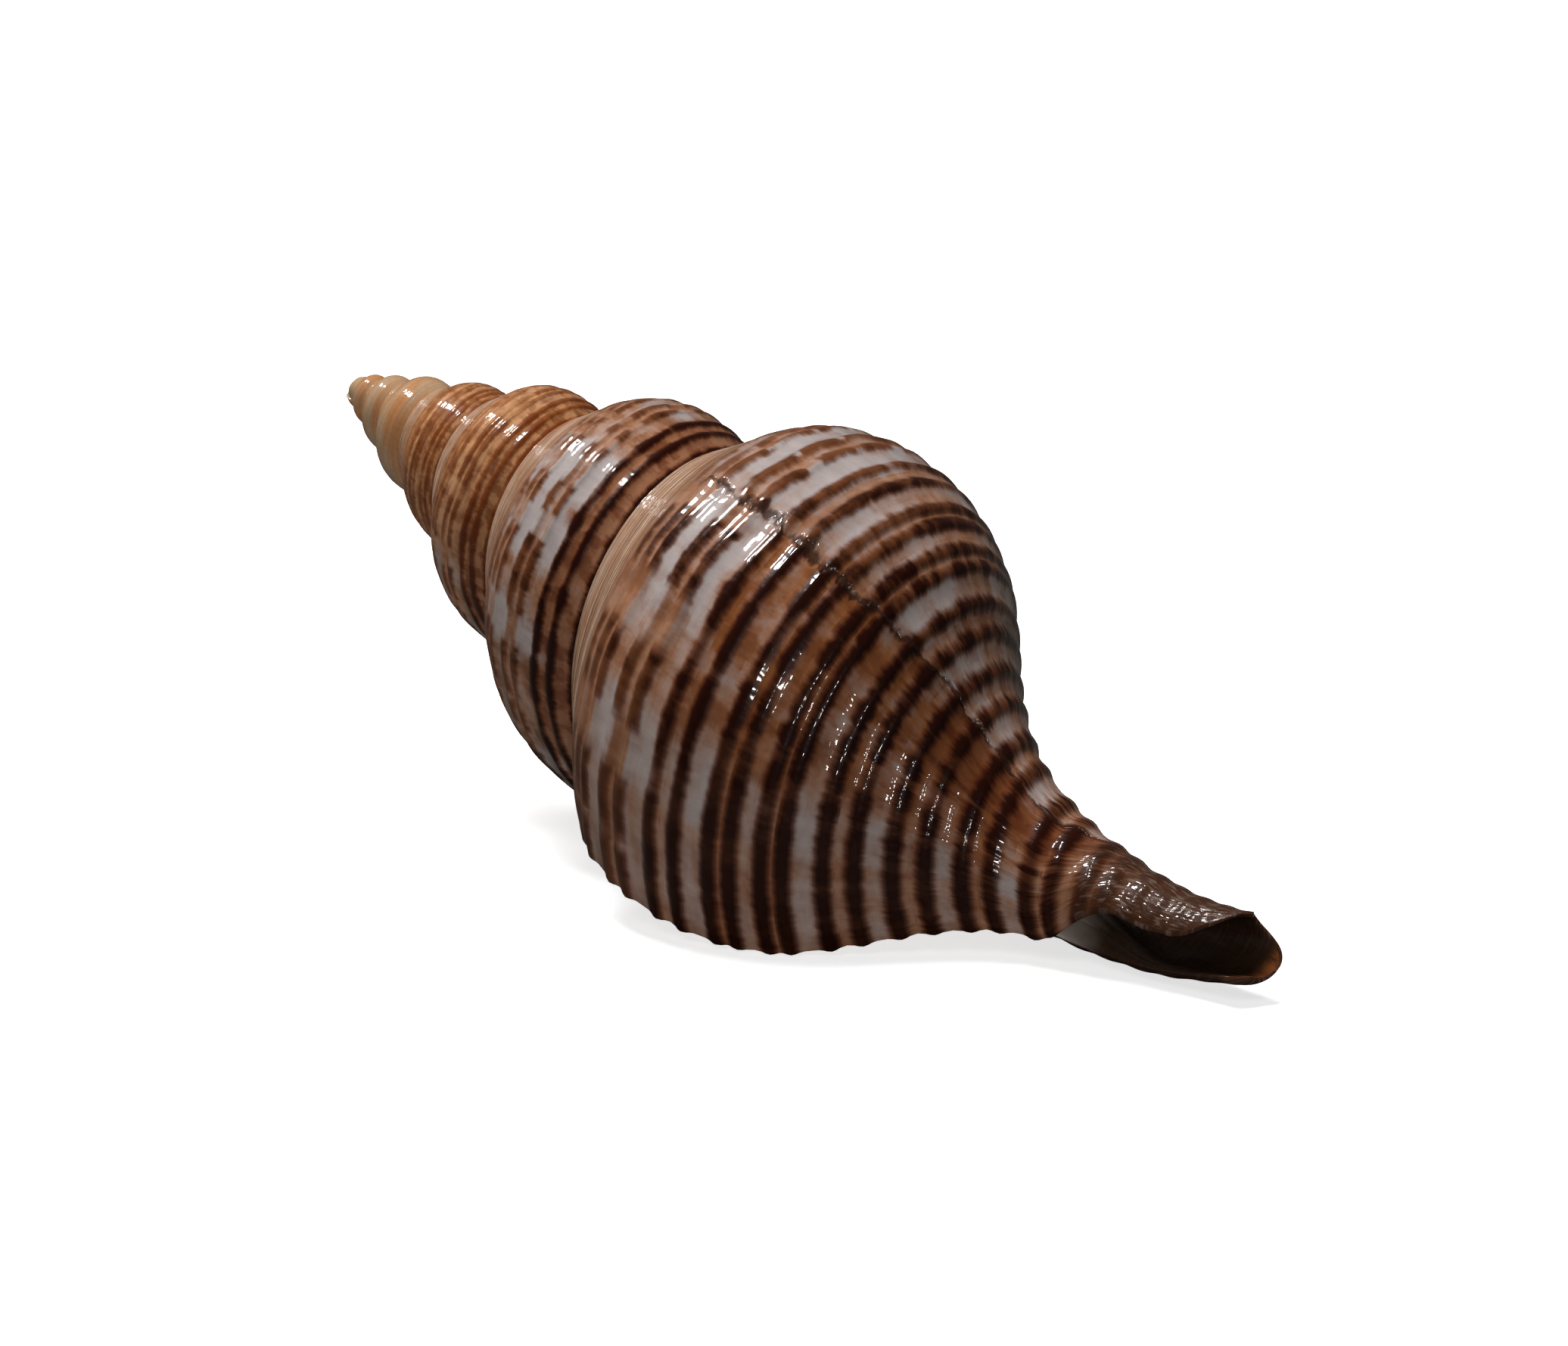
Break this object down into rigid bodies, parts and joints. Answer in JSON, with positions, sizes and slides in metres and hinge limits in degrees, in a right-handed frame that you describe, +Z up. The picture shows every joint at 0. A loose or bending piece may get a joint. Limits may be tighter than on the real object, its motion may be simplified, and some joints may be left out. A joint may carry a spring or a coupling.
{
  "type": "sea snail shell",
  "caption": "Long spindle-shaped snail shell with a stepped spire, raised spiral cords, an oval aperture under a thin lip and a slender open canal.",
  "frame": {"origin": "centre of the bounding box in plan, on the ground the shell lies on", "axes": "+Z up with the shell lying on its aperture, +X along the shell towards the end of the canal, the apex towards -X, the outer lip on the -Y side"},
  "size_m": [0.1128, 0.0464, 0.0383],
  "materials": {
    "shell": "glossy, dark brown spiral cords over tan, with pale flames, cream inside"
  },
  "bodies": {
    "root": {"shell": "shell"}
  },
  "joints": []
}
